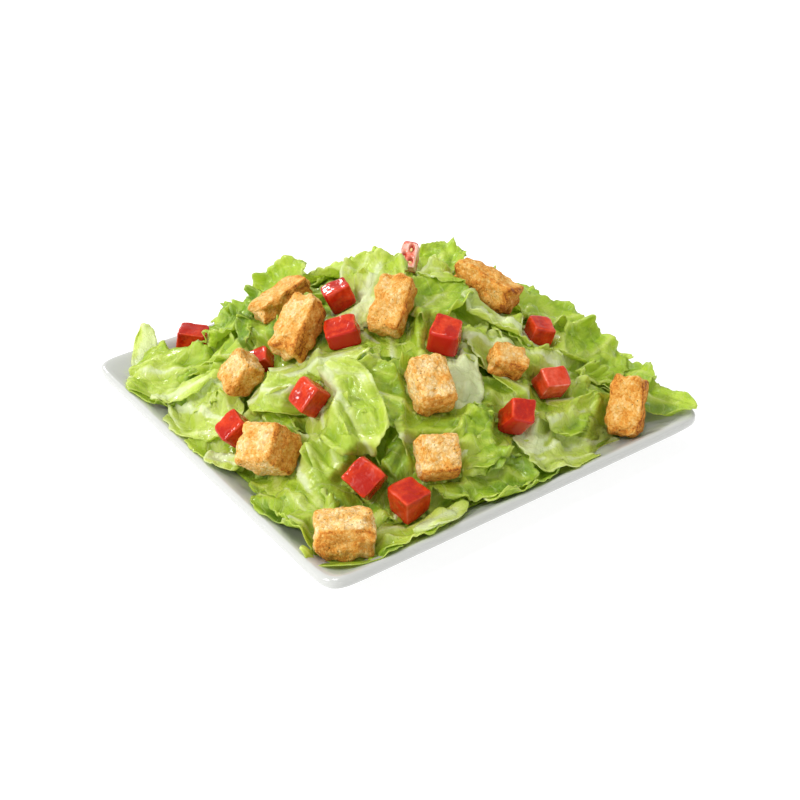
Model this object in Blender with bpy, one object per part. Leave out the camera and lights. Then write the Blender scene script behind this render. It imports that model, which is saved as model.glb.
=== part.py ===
"""Caesar salad on a square side plate: a heap of romaine with croutons and tomato dice.

Sizes are in millimetres and turned into metres by MM. X and Y run along the plate's edges, +Z is up, and the
origin is under the middle of the plate, on the table.
"""

import math
import random

import bmesh
import bpy
from mathutils import Matrix, Vector, noise

MM = 0.001

# Plate
PLATE_HALF = 89.0
PLATE_SQUARENESS = 25.0
PLATE_POINTS = 32
WELL_HALF = 56.0
WELL_HEIGHT = 5.0
WELL_THICKNESS = 3.5
SLOPE_HALF = 87.0
SLOPE_HEIGHT = 16.6
SLOPE_POWER = 1.7
SLOPE_STEPS = 5
LIP_PROFILE = ((88.4, 16.4), (89.0, 15.5), (89.0, 13.3), (88.4, 12.4), (87.0, 12.0))
UNDER_STEPS = 3
FOOT_OUTER = 55.0
FOOT_INNER = 50.0
FOOT_RECESS = 1.5

# Heap
HEAP_HALF = 84.0
HEAP_SQUARENESS = 2.6
HEAP_EDGE = 14.0
HEAP_PEAK = 55.0
PEAK_X = 8.0
PEAK_Y = 10.0
SQUARE_SHARE = 0.45
HEAP_SHOULDER = 0.85
CORE_DROP = 2.5
CORE_INSET = 3.0
CORE_CELLS = 9
CORE_LUMPS = 1.2

# Gaps between nodes, and the longest edge that is welded away after a cut
PLATE_GAP = 0.5
TOPPING_GAP = 0.4
SLIVER = 0.001

LEAF_THICKNESS = 1.0
RIM_ROOM = 1.4
LEAF_REACH = PLATE_HALF - LEAF_THICKNESS - 0.2

# Each kind of leaf: bend along and across in degrees, twist in degrees, how round and how narrow its outline
# gets, height and number of the waves at its margin, and the cells along and across
LEAF_KINDS = {
    "flat": dict(curl=20, cup=20, twist=8, round=0.7, taper=0.1, ruffle=0.8, waves=2.0, cells=(2, 2)),
    "frilled": dict(curl=30, cup=30, twist=14, round=0.6, taper=0.0, ruffle=1.8, waves=3.5, cells=(4, 2)),
    "folded": dict(curl=18, cup=115, twist=8, round=0.5, taper=0.1, ruffle=0.7, waves=2.0, cells=(3, 2)),
    "cupped": dict(curl=45, cup=65, twist=6, round=0.8, taper=0.1, ruffle=0.8, waves=2.5, cells=(3, 2)),
    "draped": dict(curl=-45, cup=-35, twist=8, round=0.7, taper=0.0, ruffle=1.0, waves=3.0, cells=(3, 2)),
    "rib": dict(curl=22, cup=60, twist=4, round=0.3, taper=0.2, ruffle=0.3, waves=1.0, cells=(2, 2)),
    "curled": dict(curl=105, cup=25, twist=16, round=0.6, taper=0.1, ruffle=1.2, waves=2.5, cells=(4, 2)),
    "slice": dict(curl=18, cup=25, twist=10, round=1.0, taper=0.0, ruffle=0.3, waves=1.0, cells=(2, 2)),
}

# Each leaf: kind, place on the plate, lift over the heap, heading, pitch and roll in degrees, length, width
LEAVES = (
    ("rib", -68, 82, 3, 54, 55, 0, 26, 12),
    ("draped", -68, 58, 5, -40, 5, 28, 42, 36),
    ("frilled", -82, 50, 2, -60, 0, 12, 38, 22),
    ("rib", -70, 36, 4, -45, 0, 0, 38, 10),
    ("frilled", -44, 64, 3, -30, 10, 10, 30, 20),
    ("frilled", -38, 50, 3, -30, 10, 0, 32, 24),
    ("folded", -38, 32, 2, 54, 18, 0, 30, 24),
    ("frilled", -34, 22, 1, -10, 8, 0, 30, 22),
    ("curled", -50, 30, 2, -30, 0, -15, 22, 14),
    ("frilled", -18, 50, 4, 40, 28, 0, 30, 26),
    ("folded", 4, 42, 1, -50, 0, 0, 34, 18),
    ("folded", -28, 28, 3, 60, 30, 0, 18, 14),
    ("folded", -38, -9, 3, -22, 0, 0, 50, 20),
    ("folded", -54, -8, 4, -49, 0, 0, 36, 22),
    ("flat", -76, 22, 2, -75, 0, -10, 44, 28),
    ("frilled", -80, 4, 1, -80, 0, -10, 30, 18),
    ("curled", -80, -8, 2, -60, 15, 0, 22, 9),
    ("cupped", -76, -30, 1, -60, 0, 0, 24, 16),
    ("flat", -82, -42, 1, -80, 0, 0, 24, 14),
    ("cupped", -42, -32, 4, -100, 0, 0, 42, 30),
    ("folded", -52, -36, 3, -110, 0, 10, 34, 22),
    ("draped", -65, -42, 4, -100, 0, -5, 48, 34),
    ("frilled", -74, -52, 3, -90, 5, 0, 30, 20),
    ("folded", -76, -62, 3, -60, 10, 0, 28, 16),
    ("cupped", -74, -80, 1, -30, 0, 0, 34, 16),
    ("flat", -52, -80, 1, -20, 0, -8, 36, 24),
    ("folded", -55, -66, 4, -30, 20, 0, 26, 14),
    ("flat", -36, -60, 2, 40, 0, 0, 34, 22),
    ("frilled", -28, -36, 3, -60, 0, 0, 34, 24),
    ("folded", -16, -22, 3, 60, 8, 0, 34, 16),
    ("folded", -6, -28, 3, 50, 0, 0, 36, 18),
    ("frilled", -4, 8, 4, 30, 15, 0, 40, 28),
    ("frilled", 10, 20, 3, 20, 8, 0, 34, 22),
    ("cupped", 14, -10, 3, 20, 0, -10, 38, 28),
    ("frilled", 40, 24, 3, 30, 30, 0, 32, 22),
    ("curled", 44, 12, 1, -10, 5, 0, 34, 18),
    ("folded", 28, 2, 4, -30, 5, 0, 30, 18),
    ("cupped", 70, 10, 1, 0, 20, 0, 30, 20),
    ("folded", 35, -28, 3, -36, 0, 0, 42, 20),
    ("rib", 45, -30, 4, 60, 30, 0, 24, 11),
    ("cupped", 70, -14, 5, -10, 15, 0, 38, 30),
    ("flat", 60, -34, 3, -40, 0, 0, 34, 20),
    ("draped", 32, -40, 3, -30, 0, 0, 50, 26),
    ("frilled", 70, -40, 6, 30, 30, 0, 36, 32),
    ("frilled", 74, -52, 4, -50, 10, 0, 38, 24),
    ("frilled", 60, -60, 3, -50, 5, 0, 36, 24),
    ("frilled", 80, -66, 3, -72, 0, 0, 38, 18),
    ("slice", 20, -54, 4, -78, 0, 0, 34, 10),
    ("folded", 40, -66, 4, 5, 5, 0, 38, 16),
    ("frilled", 46, -62, 3, -20, 0, 0, 34, 18),
    ("cupped", 26, -76, 3, -8, 5, -10, 46, 26),
    ("draped", 0, -46, 1, 58, 0, 0, 34, 16),
    ("frilled", -16, -60, 3, -30, 0, 0, 44, 28),
    ("frilled", -6, -64, 3, 20, 10, 0, 30, 22),
    ("frilled", -12, -74, 2, -30, 0, -10, 44, 22),
    ("rib", -36, -82, 1, 10, 0, -10, 26, 12),
    ("flat", 2, -84, 1, 0, 0, -10, 36, 12),
    ("draped", 60, 62, 1, 45, 0, 0, 44, 34),
    ("frilled", 76, 38, -1, -70, 0, 0, 40, 28),
    ("frilled", 34, 74, -1, 20, 0, 0, 42, 28),
    ("cupped", -4, 76, -2, -10, 0, 0, 38, 26),
    ("flat", -34, 78, -2, 10, 0, 0, 36, 24),
    ("folded", 38, 48, -2, -40, 0, 0, 38, 24),
    ("flat", 76, 74, -1, -50, 0, 0, 30, 22),
    ("draped", 14, 58, 0, 110, 0, 0, 40, 30),
    ("cupped", -22, 62, -2, 60, 0, 0, 34, 26),
    ("frilled", 56, 34, -1, 20, 5, 0, 36, 28),
    ("draped", 46, 74, 0, 80, 0, 0, 36, 26),
    ("draped", 68, 20, 0, 10, 0, 0, 34, 26),
    ("frilled", 82, 56, -1, 80, 0, 0, 32, 22),
)

# Each crouton: place on the plate, lift over the heap, heading, pitch and roll, length, width, height
CROUTONS = (
    (-25, 37, 5, 0, 0, 10, 25, 11, 9),
    (-34, 9, 7, 22, 10, 0, 25, 14, 12),
    (-5, -8, 7, 36, 30, 0, 23, 14, 12),
    (40, -7, 7, -75, 0, 0, 28, 14, 13),
    (-57, 14, 6, -20, 15, 10, 15, 13, 12),
    (-13, -42, 6, -109, 0, 0, 20, 15, 14),
    (21, -44, 5, -30, 0, 0, 14, 11, 10),
    (-67, -22, 8, -56, 12, 0, 19, 17, 17),
    (-25, -62, 6, -25, 5, 0, 16, 15, 14),
    (-71, -71, 5.5, -30, 0, 0, 21, 16, 14),
    (59, -75, 10, 40, 50, 0, 23, 14, 13),
)

# Each tomato die: place on the plate, lift over the heap, heading, pitch and roll, length, width, height
TOMATOES = (
    (24, 21, 7, 40, 50, 0, 12, 8, 6),
    (-14, 12, 6, -20, 10, 0, 11, 10, 11),
    (-24, -3, 3, -30, 0, 0, 14, 11, 9),
    (-48, 77, 6, -40, -8, 0, 13, 11, 10),
    (-49, 22, -3, -36, 0, 0, 11, 9, 9),
    (-48, -19, 6, 5, 15, 0, 12, 10, 12),
    (-70, -2, 5, -10, 0, 0, 11, 10, 11),
    (4, -28, 6, -50, 5, 0, 13, 12, 12),
    (51, -29, 3, -20, 10, 0, 11, 10, 10),
    (35, -54, 4, -10, 15, 0, 12, 10, 11),
    (11, -62, 5, -32, 0, 0, 11, 10, 14),
    (-49, -53, 5, 10, 10, 0, 13, 13, 12),
    (-42, -69, 6, 5, 5, 0, 13, 12, 12),
)
CROUTON_SQUARENESS = 6.0
CROUTON_CUTS = 2
CROUTON_CRAG = 0.9
TOMATO_EDGE = 0.8

COLOURS = {
    "porcelain": ((0.86, 0.86, 0.84), 0.15),
    "lettuce": ((0.34, 0.52, 0.09), 0.4),
    "bread": ((0.60, 0.30, 0.08), 0.8),
    "tomato": ((0.70, 0.06, 0.02), 0.25),
}


def clear_scene():
    """Remove what a new Blender file holds."""
    for item in list(bpy.data.objects):
        bpy.data.objects.remove(item)


def material(name):
    """Plain material of one of the four colours."""
    made = bpy.data.materials.get(name)
    if made:
        return made
    colour, roughness = COLOURS[name]
    made = bpy.data.materials.new(name)
    made.use_nodes = True
    shader = made.node_tree.nodes["Principled BSDF"]
    shader.inputs["Base Color"].default_value = (*colour, 1.0)
    shader.inputs["Roughness"].default_value = roughness
    shader.inputs["Metallic"].default_value = 0.0
    return made


def new_object(name, bm, slot, smooth=True):
    """Turn millimetres into metres and put the mesh in the scene, as triangles since its faces aren't flat."""
    bmesh.ops.recalc_face_normals(bm, faces=bm.faces)
    bmesh.ops.triangulate(bm, faces=bm.faces)
    for face in bm.faces:
        face.smooth = smooth
    bmesh.ops.scale(bm, vec=(MM, MM, MM), verts=bm.verts)
    mesh = bpy.data.meshes.new(name)
    bm.to_mesh(mesh)
    bm.free()
    mesh.materials.append(material(slot))
    made = bpy.data.objects.new(name, mesh)
    bpy.context.scene.collection.objects.link(made)
    return made


def square_reach(x, y, squareness):
    """Half width of the rounded square that passes through a point."""
    return (abs(x) ** squareness + abs(y) ** squareness) ** (1.0 / squareness)


def slope_share(reach):
    """How far up the plate's slope a rounded square lies, from 0 to 1."""
    return min(max((reach - WELL_HALF) / (SLOPE_HALF - WELL_HALF), 0.0), 1.0)


def plate_top(x, y):
    """Height of the plate's upper side."""
    share = slope_share(square_reach(x, y, PLATE_SQUARENESS))
    return WELL_HEIGHT + (SLOPE_HEIGHT - WELL_HEIGHT) * share ** SLOPE_POWER


def plate_ring(bm, half, height):
    """One closed row of edges round the plate."""
    corners = []
    for step in range(PLATE_POINTS):
        angle = 2.0 * math.pi * step / PLATE_POINTS
        across = math.copysign(abs(math.cos(angle)) ** (2.0 / PLATE_SQUARENESS), math.cos(angle))
        along = math.copysign(abs(math.sin(angle)) ** (2.0 / PLATE_SQUARENESS), math.sin(angle))
        corners.append(bm.verts.new((half * across, half * along, height)))
    return [bm.edges.new((corners[step - 1], corners[step])) for step in range(PLATE_POINTS)]


def plate_profile():
    """Half widths and heights from the middle of the well round the lip to the middle underneath."""
    rows = []
    for step in range(SLOPE_STEPS + 1):
        half = WELL_HALF + (SLOPE_HALF - WELL_HALF) * step / SLOPE_STEPS
        rows.append((half, plate_top(half, 0.0)))
    rows.extend(LIP_PROFILE)
    lip_half, lip_height = LIP_PROFILE[-1]
    under_height = WELL_HEIGHT - WELL_THICKNESS
    for step in range(1, UNDER_STEPS + 1):
        share = 1.0 - step / UNDER_STEPS
        half = WELL_HALF + (lip_half - WELL_HALF) * share
        rows.append((half, under_height + (lip_height - under_height) * share ** SLOPE_POWER))
    rows.extend(((FOOT_OUTER, 0.0), (FOOT_INNER, 0.0), (FOOT_INNER - 1.5, FOOT_RECESS)))
    return rows


def make_plate():
    """Porcelain plate as rings joined from the well over the lip to the foot."""
    bm = bmesh.new()
    rings = [plate_ring(bm, half, height) for half, height in plate_profile()]
    for inner, outer in zip(rings, rings[1:]):
        bmesh.ops.bridge_loops(bm, edges=inner + outer)
    bmesh.ops.edgeloop_fill(bm, edges=rings[0])
    bmesh.ops.edgeloop_fill(bm, edges=rings[-1])
    return new_object("plate", bm, "porcelain")


def heap_height(x, y):
    """Height of the heap's skin, highest near the middle."""
    squarish = square_reach(x, y, HEAP_SQUARENESS) / HEAP_HALF
    roundish = math.hypot(x - PEAK_X, y - PEAK_Y) / HEAP_HALF
    fall = min(SQUARE_SHARE * squarish + (1.0 - SQUARE_SHARE) * roundish, 1.0)
    return HEAP_EDGE + (HEAP_PEAK - HEAP_EDGE) * math.cos(fall * math.pi / 2.0) ** HEAP_SHOULDER


def heap_frame(x, y, lift, heading, pitch, roll):
    """Frame of a piece that lies on the heap's skin."""
    step = 2.0
    rise_x = (heap_height(x + step, y) - heap_height(x - step, y)) / (2.0 * step)
    rise_y = (heap_height(x, y + step) - heap_height(x, y - step)) / (2.0 * step)
    normal = Vector((-rise_x, -rise_y, 1.0)).normalized()
    place = Vector((x, y, heap_height(x, y))) + normal * lift
    lean = Vector((0.0, 0.0, 1.0)).rotation_difference(normal).to_matrix().to_4x4()
    turn = Matrix.Rotation(math.radians(heading), 4, "Z")
    rise = Matrix.Rotation(-math.radians(pitch), 4, "Y")
    tip = Matrix.Rotation(math.radians(roll), 4, "X")
    return Matrix.Translation(place) @ lean @ turn @ rise @ tip


def make_core():
    """Lumpy body of the heap under its leaves."""
    bm = bmesh.new()
    bmesh.ops.create_grid(bm, x_segments=CORE_CELLS, y_segments=CORE_CELLS, size=1.0)
    top = bmesh.ops.extrude_face_region(bm, geom=bm.faces[:], use_keep_orig=True)["geom"]
    raised = {vert for vert in top if isinstance(vert, bmesh.types.BMVert)}
    half = HEAP_HALF - CORE_INSET
    for vert in bm.verts:
        x = half * vert.co.x * math.sqrt(1.0 - vert.co.y ** 2 * 0.16)
        y = half * vert.co.y * math.sqrt(1.0 - vert.co.x ** 2 * 0.16)
        floor = plate_top(x, y) + PLATE_GAP
        skin = heap_height(x, y) - CORE_DROP + CORE_LUMPS * noise.noise(Vector((x, y, 0.0)) * 0.08)
        vert.co = (x, y, max(skin, floor + 1.0) if vert in raised else floor)
    return new_object("lettuce", bm, "lettuce")


def leaf_point(kind, length, width, phase, s, t):
    """Point of a leaf's middle surface, with s along it and t across it, both from -1 to 1."""
    along = s * math.sqrt(1.0 - kind["round"] * t * t / 2.0)
    across = t * math.sqrt(1.0 - kind["round"] * s * s / 2.0) * (1.0 - kind["taper"] * s)
    bend = math.radians(kind["curl"]) / 2.0
    fold = math.radians(kind["cup"]) / 2.0
    turn = math.radians(kind["twist"]) / 2.0 * along
    lean = bend * along
    spine = Vector((math.sin(lean) / bend, 0.0, (1.0 - math.cos(lean)) / bend)) * (length / 2.0)
    up = Vector((-math.sin(lean), 0.0, math.cos(lean)))
    side = Vector((0.0, 1.0, 0.0))
    side_turned = side * math.cos(turn) + up * math.sin(turn)
    up_turned = up * math.cos(turn) - side * math.sin(turn)
    margin = abs(t) ** 2 * math.sin(kind["waves"] * math.pi * s + phase)
    tip = abs(s) ** 3 * math.sin(kind["waves"] * 2.0 * t + 1.7 * phase)
    ripple = kind["ruffle"] * (margin + 0.6 * tip)
    out = width / 2.0 * math.sin(fold * across) / fold
    rise = width / 2.0 * (1.0 - math.cos(fold * across)) / fold
    return spine + side_turned * out + up_turned * (rise + ripple)


def keep_on_plate(points):
    """Shift a leaf inside the plate's outline and raise what would touch the plate."""
    for axis in range(2):
        over = max(max(point[axis] for point in points) - LEAF_REACH, 0.0)
        under = min(min(point[axis] for point in points) + LEAF_REACH, 0.0)
        for point in points:
            point[axis] -= over + under
    for point in points:
        point.z = max(point.z, plate_top(point.x, point.y) + PLATE_GAP + RIM_ROOM)
    return points


def make_leaf(index, row):
    """Thin wavy solid of one leaf."""
    kind_name, x, y, lift, heading, pitch, roll, length, width = row
    kind = LEAF_KINDS[kind_name]
    frame = heap_frame(x, y, lift, heading, pitch, roll)
    phase = random.Random(index).uniform(0.0, 2.0 * math.pi)
    cells_along, cells_across = kind["cells"]
    bm = bmesh.new()
    bmesh.ops.create_grid(bm, x_segments=cells_along, y_segments=cells_across, size=1.0)
    bmesh.ops.triangulate(bm, faces=bm.faces)
    points = [frame @ leaf_point(kind, length, width, phase, *vert.co.xy) for vert in bm.verts]
    for vert, point in zip(bm.verts, keep_on_plate(points)):
        vert.co = point
    bmesh.ops.solidify(bm, geom=bm.faces, thickness=LEAF_THICKNESS)
    return new_object(f"leaf_{index:02d}", bm, "lettuce")


def crouton_mesh(index, row, gap=0.0):
    """Craggy block of toasted bread with soft corners."""
    x, y, lift, heading, pitch, roll, length, width, height = row
    bm = bmesh.new()
    bmesh.ops.create_cube(bm, size=2.0)
    bmesh.ops.subdivide_edges(bm, edges=bm.edges[:], cuts=CROUTON_CUTS, use_grid_fill=True)
    half = Vector((length, width, height)) / 2.0
    seat = Vector((index * 7.3, index * 3.1, 0.0))
    for vert in bm.verts:
        reach = sum(abs(value) ** CROUTON_SQUARENESS for value in vert.co) ** (1.0 / CROUTON_SQUARENESS)
        corner = vert.co / reach
        place = Vector(a * b for a, b in zip(corner, half))
        crag = CROUTON_CRAG * noise.noise(place * 0.25 + seat)
        vert.co = place * (1.0 + (crag + gap) / min(half))
    bmesh.ops.transform(bm, matrix=heap_frame(x, y, lift, heading, pitch, roll), verts=bm.verts)
    return bm


def tomato_mesh(index, row, gap=0.0):
    """Diced tomato with slightly uneven sides."""
    x, y, lift, heading, pitch, roll, length, width, height = row
    chance = random.Random(100 + index)
    bm = bmesh.new()
    bmesh.ops.create_cube(bm, size=1.0)
    for vert in bm.verts:
        uneven = [chance.uniform(0.86, 1.0) for axis in range(3)]
        vert.co = [value * share * size for value, share, size in zip(vert.co, uneven, (length, width, height))]
    bmesh.ops.bevel(bm, geom=bm.edges[:], offset=TOMATO_EDGE, segments=1, profile=0.5, affect="EDGES", material=-1)
    grow = 1.0 + gap / (min(length, width, height) * 0.43)
    bmesh.ops.scale(bm, vec=(grow, grow, grow), verts=bm.verts)
    bmesh.ops.transform(bm, matrix=heap_frame(x, y, lift, heading, pitch, roll), verts=bm.verts)
    return bm


def combine(target, tools, operation):
    """Join or cut a solid with a collection of others, which are then removed."""
    group = bpy.data.collections.new("tools")
    bpy.context.scene.collection.children.link(group)
    for tool in tools:
        bpy.context.scene.collection.objects.unlink(tool)
        group.objects.link(tool)
    step = target.modifiers.new("combine", "BOOLEAN")
    step.operation = operation
    step.operand_type = "COLLECTION"
    step.collection = group
    step.solver = "MANIFOLD"
    bpy.context.view_layer.objects.active = target
    bpy.ops.object.modifier_apply(modifier=step.name)
    for tool in tools:
        bpy.data.objects.remove(tool)
    bpy.data.collections.remove(group)


def keep_largest_body(target):
    """Drop loose scraps and fill sealed hollows, so that one closed body is left."""
    bm = bmesh.new()
    bm.from_mesh(target.data)
    bmesh.ops.remove_doubles(bm, verts=bm.verts, dist=SLIVER * MM)
    waiting = set(bm.verts)
    bodies = []
    while waiting:
        body = {waiting.pop()}
        front = list(body)
        while front:
            vert = front.pop()
            for edge in vert.link_edges:
                other = edge.other_vert(vert)
                if other in waiting:
                    waiting.discard(other)
                    body.add(other)
                    front.append(other)
        bodies.append(body)
    largest = max(bodies, key=len)
    bmesh.ops.delete(bm, geom=[vert for vert in bm.verts if vert not in largest], context="VERTS")
    bm.to_mesh(target.data)
    bm.free()


def make_lettuce():
    """Core and leaves fused into one heap, with seats for the croutons and the tomato."""
    heap = make_core()
    leaves = [make_leaf(index, row) for index, row in enumerate(LEAVES)]
    combine(heap, leaves, "UNION")
    seats = []
    for index, row in enumerate(CROUTONS):
        seats.append(new_object(f"seat_c{index:02d}", crouton_mesh(index, row, TOPPING_GAP), "bread"))
    for index, row in enumerate(TOMATOES):
        seats.append(new_object(f"seat_t{index:02d}", tomato_mesh(index, row, TOPPING_GAP), "tomato"))
    combine(heap, seats, "DIFFERENCE")
    keep_largest_body(heap)


def make_toppings():
    """Croutons and tomato dice on the heap."""
    for index, row in enumerate(CROUTONS):
        new_object(f"crouton_{index + 1:02d}", crouton_mesh(index, row), "bread")
    for index, row in enumerate(TOMATOES):
        new_object(f"tomato_{index + 1:02d}", tomato_mesh(index, row), "tomato", smooth=False)


def main():
    clear_scene()
    make_plate()
    make_lettuce()
    make_toppings()


main()
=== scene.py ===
"""Looks of a caesar salad: cut romaine, toasted bread cubes and diced tomato on a square white plate.

The tables and the modelling functions work in millimetres, and every mesh is turned into metres by MM when it
is finished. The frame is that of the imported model: +Z up, with the origin on the table under the plate.
"""

import math
import random

import bmesh
import bpy
import numpy as np
from bpy.props import FloatProperty, FloatVectorProperty, IntProperty, PointerProperty
from mathutils import Matrix, Vector, noise


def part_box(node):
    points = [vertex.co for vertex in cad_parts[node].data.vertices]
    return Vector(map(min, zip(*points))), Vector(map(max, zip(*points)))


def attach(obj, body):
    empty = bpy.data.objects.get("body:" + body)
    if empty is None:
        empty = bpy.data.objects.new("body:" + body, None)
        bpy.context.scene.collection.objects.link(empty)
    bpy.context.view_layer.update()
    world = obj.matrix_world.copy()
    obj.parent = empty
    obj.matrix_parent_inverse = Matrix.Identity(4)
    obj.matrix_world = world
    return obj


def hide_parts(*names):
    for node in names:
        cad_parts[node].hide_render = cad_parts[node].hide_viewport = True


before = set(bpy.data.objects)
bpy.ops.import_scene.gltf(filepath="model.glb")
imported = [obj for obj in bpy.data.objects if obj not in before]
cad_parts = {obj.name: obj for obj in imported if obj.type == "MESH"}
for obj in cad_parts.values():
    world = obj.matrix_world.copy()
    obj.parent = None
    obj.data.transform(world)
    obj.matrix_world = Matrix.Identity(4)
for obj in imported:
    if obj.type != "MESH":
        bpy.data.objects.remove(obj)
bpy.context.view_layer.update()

bl_info = {
    "name": "Caesar Salad",
    "version": (1, 0, 0),
    "blender": (4, 5, 0),
    "location": "3D View > Sidebar > Salad",
    "description": "Models a plated caesar salad of romaine leaves, croutons and diced tomato",
    "category": "Add Mesh",
}

MM = 0.001
PLATE_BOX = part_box("plate")

# Plate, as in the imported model
WELL_HALF = 56.0
WELL_HEIGHT = 5.0
WELL_THICKNESS = 3.5
SLOPE_HALF = 87.0
SLOPE_HEIGHT = 16.6
SLOPE_POWER = 1.7
FOOT_OUTER = 55.0
FOOT_INNER = 50.0
FOOT_RECESS = 1.5

# Foot, from its outside to the recess inside it: half width and height
FOOT_ROWS = (
    (FOOT_OUTER + 0.4, 0.5),
    (FOOT_OUTER, 0.0),
    (FOOT_INNER, 0.0),
    (FOOT_INNER - 0.6, 0.4),
    (FOOT_INNER - 1.5, FOOT_RECESS),
)

# How far inside the well's edge the rings start, and the steps round the lip
WELL_FLAT = 6.0
LIP_STEPS = 12

# Heap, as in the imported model
HEAP_HALF = 84.0
HEAP_SQUARENESS = 2.6
HEAP_EDGE = 14.0
HEAP_PEAK = 55.0
PEAK_X = 8.0
PEAK_Y = 10.0
SQUARE_SHARE = 0.45
HEAP_SHOULDER = 0.85

# Bend along and across and twist in degrees, how round, how narrow and how ragged the outline is, heights of
# the margin's curl, the frill, the long folds and the blisters, and half width of the midrib
KIND_TRAITS = ("curl", "cup", "twist", "round", "taper", "ragged", "lip", "frill", "folds", "blister", "rib")
LEAF_KINDS = {
    "flat": (20, 20, 8, 0.9, 0.1, 0.4, 2.2, 0.6, 1.6, 0.15, 1.2),
    "frilled": (30, 30, 14, 0.8, 0.0, 1.0, 2.8, 1.3, 1.4, 0.50, 0.9),
    "folded": (18, 115, 8, 0.9, 0.1, 0.3, 1.8, 0.5, 1.3, 0.12, 1.6),
    "cupped": (45, 65, 6, 0.9, 0.1, 0.4, 2.0, 0.6, 1.6, 0.15, 1.4),
    "draped": (-45, -35, 8, 0.9, 0.0, 0.5, 2.2, 0.7, 1.9, 0.15, 1.2),
    "rib": (22, 60, 4, 1.1, 0.2, 0.2, 0.8, 0.3, 0.5, 0.08, 3.6),
    "curled": (105, 25, 16, 0.8, 0.1, 0.6, 1.8, 0.9, 0.8, 0.25, 0.8),
    "slice": (18, 25, 10, 1.0, 0.0, 0.2, 0.6, 0.2, 0.6, 0.08, 1.4),
}

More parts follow.
